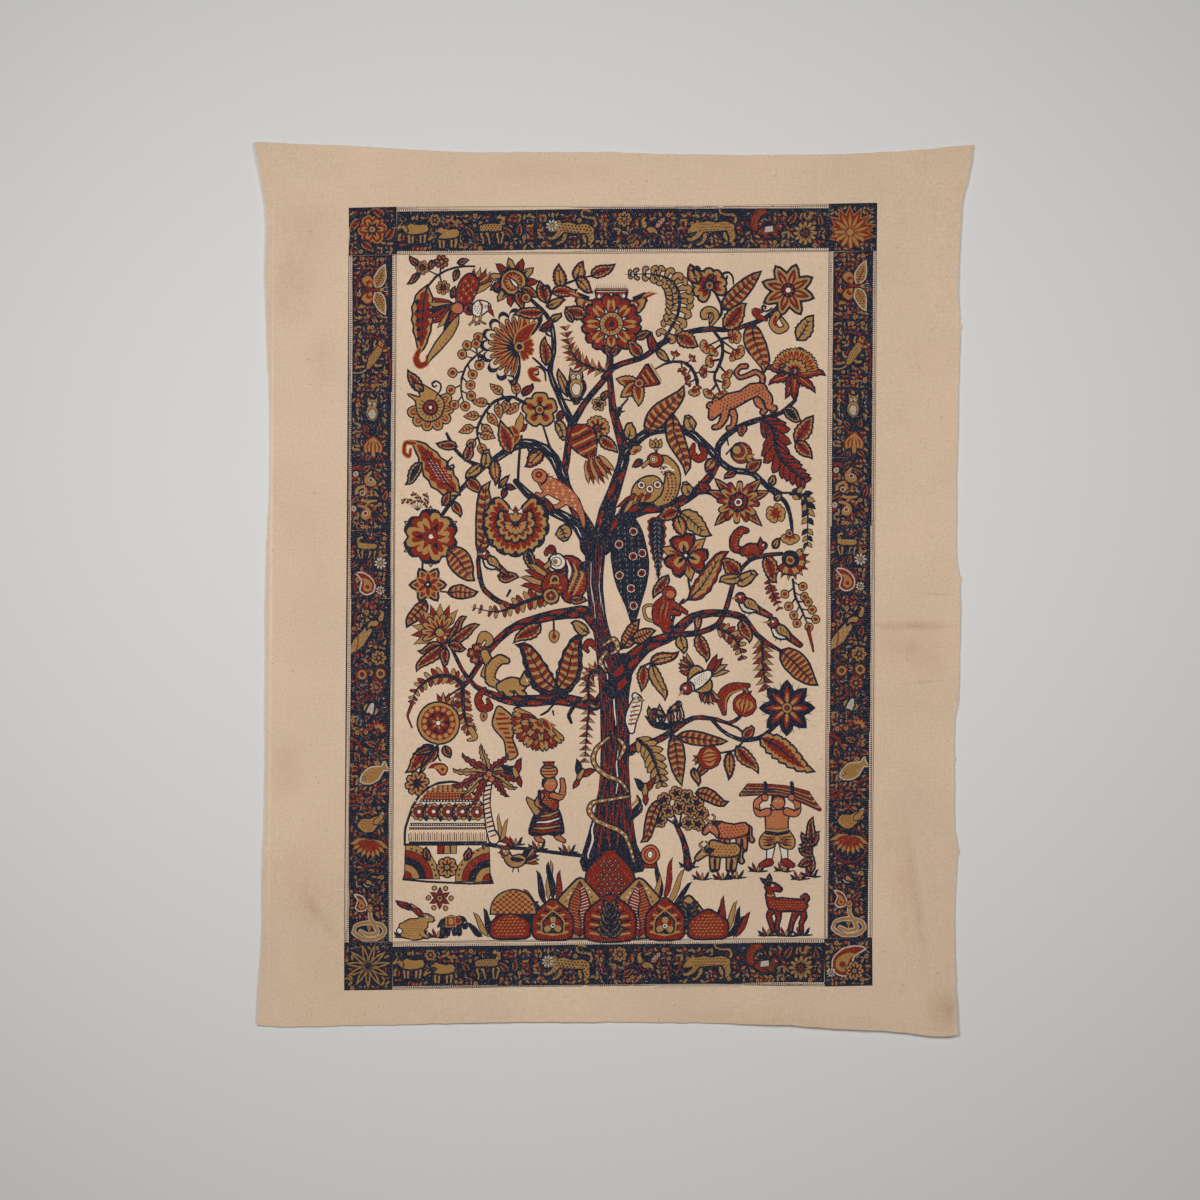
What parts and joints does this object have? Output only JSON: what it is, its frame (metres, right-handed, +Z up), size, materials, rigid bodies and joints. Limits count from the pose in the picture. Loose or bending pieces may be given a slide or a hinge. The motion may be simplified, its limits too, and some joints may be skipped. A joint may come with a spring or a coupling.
{
  "type": "kalamkari panel",
  "caption": "Printed and painted cotton wall panel: a tree of life with birds and beasts inside a dark animal border, hung flat by its corners in soft folds.",
  "frame": {"origin": "the middle of the cut top edge, on the wall plane that the cloth hangs against", "axes": "+Z up along the length of the cloth, +X to the viewer's right, +Y into the wall; the printed face looks along -Y"},
  "size_m": [1.1639, 0.0103, 1.4488],
  "materials": {
    "printed_cotton": "plain-woven unbleached cotton, matte, block-printed and pen-drawn in indigo black, madder red and mustard"
  },
  "bodies": {
    "root": {"printed_cloth": "printed_cotton"}
  },
  "joints": []
}
